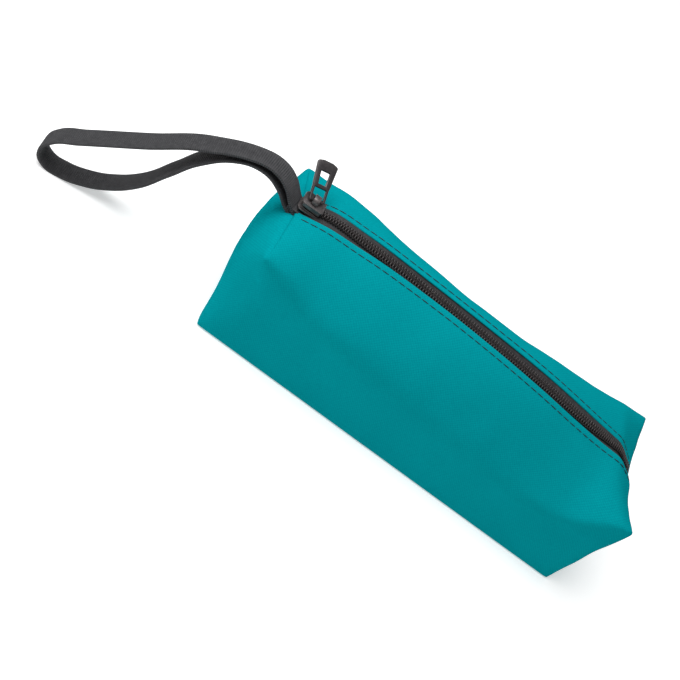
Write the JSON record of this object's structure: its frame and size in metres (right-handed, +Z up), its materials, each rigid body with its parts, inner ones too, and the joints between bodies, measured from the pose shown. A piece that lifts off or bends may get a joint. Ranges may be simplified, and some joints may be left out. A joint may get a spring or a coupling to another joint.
{
  "type": "zippered tool bag",
  "caption": "Soft boxed tool pouch with a zip along its arched top, a hinged pull on the slider, and a wrist strap sewn into one end.",
  "frame": {"origin": "centre of the base face", "axes": "+X along the bag away from the strap, -Y to the front, +Z up"},
  "size_m": [0.3561, 0.085, 0.0889],
  "materials": {
    "cloth": "coated plain-weave Oxford cloth, slight sheen",
    "zip_tape": "woven polyester zip tape",
    "zip_coil": "moulded nylon coil",
    "thread": "twisted polyester sewing thread",
    "slider_metal": "dark painted die casting",
    "webbing": "ribbed polypropylene webbing"
  },
  "bodies": {
    "bag": {"body_cloth": "cloth", "end_topstitch": "thread", "top_left_box_seam": "cloth", "left_end_seam": "cloth", "base_left_box_seam": "cloth", "top_right_box_seam": "cloth", "right_end_seam": "cloth", "base_right_box_seam": "cloth", "strap_tails": "webbing", "strap_bartack": "thread", "seam_thread": "thread"},
    "front_lip": {"front_lip_cloth": "cloth", "front_tape": "zip_tape", "front_coil": "zip_coil", "front_topstitch": "thread"},
    "back_lip": {"back_lip_cloth": "cloth", "back_tape": "zip_tape", "back_coil": "zip_coil", "back_topstitch": "thread"},
    "slider": {"slider_body": "slider_metal"},
    "pull": {"pull_tab": "slider_metal"},
    "strap": {"strap_loop": "webbing"}
  },
  "joints": [
    {"name": "slider_travel", "type": "slide", "parent": "bag", "child": "slider", "axis": [1, 0, 0], "range_m": [0, 0.212], "deforming": ["front_tape", "back_tape", "front_coil", "back_coil"]},
    {"name": "front_lip_open", "type": "hinge", "parent": "bag", "child": "front_lip", "pos_m": [0, -0.02, 0.07183], "axis": [1, 0, 0], "range_deg": [0, 70]},
    {"name": "back_lip_open", "type": "hinge", "parent": "bag", "child": "back_lip", "pos_m": [0, 0.02, 0.07183], "axis": [-1, 0, 0], "range_deg": [0, 70]},
    {"name": "pull_swing", "type": "hinge", "parent": "slider", "child": "pull", "pos_m": [-0.113, 0, 0.07785], "axis": [0.9397, 0.342, 0], "range_deg": [-30, 120]},
    {"name": "strap_lift", "type": "hinge", "parent": "bag", "child": "strap", "pos_m": [-0.12351, 0, 0.06935], "axis": [-0.1184, 0.993, 0], "range_deg": [0, 55]}
  ],
  "couplings": [
    {"joint": "front_lip_open", "follows": "slider_travel", "rad_per_m": 5.75},
    {"joint": "back_lip_open", "follows": "slider_travel", "rad_per_m": 5.75}
  ]
}
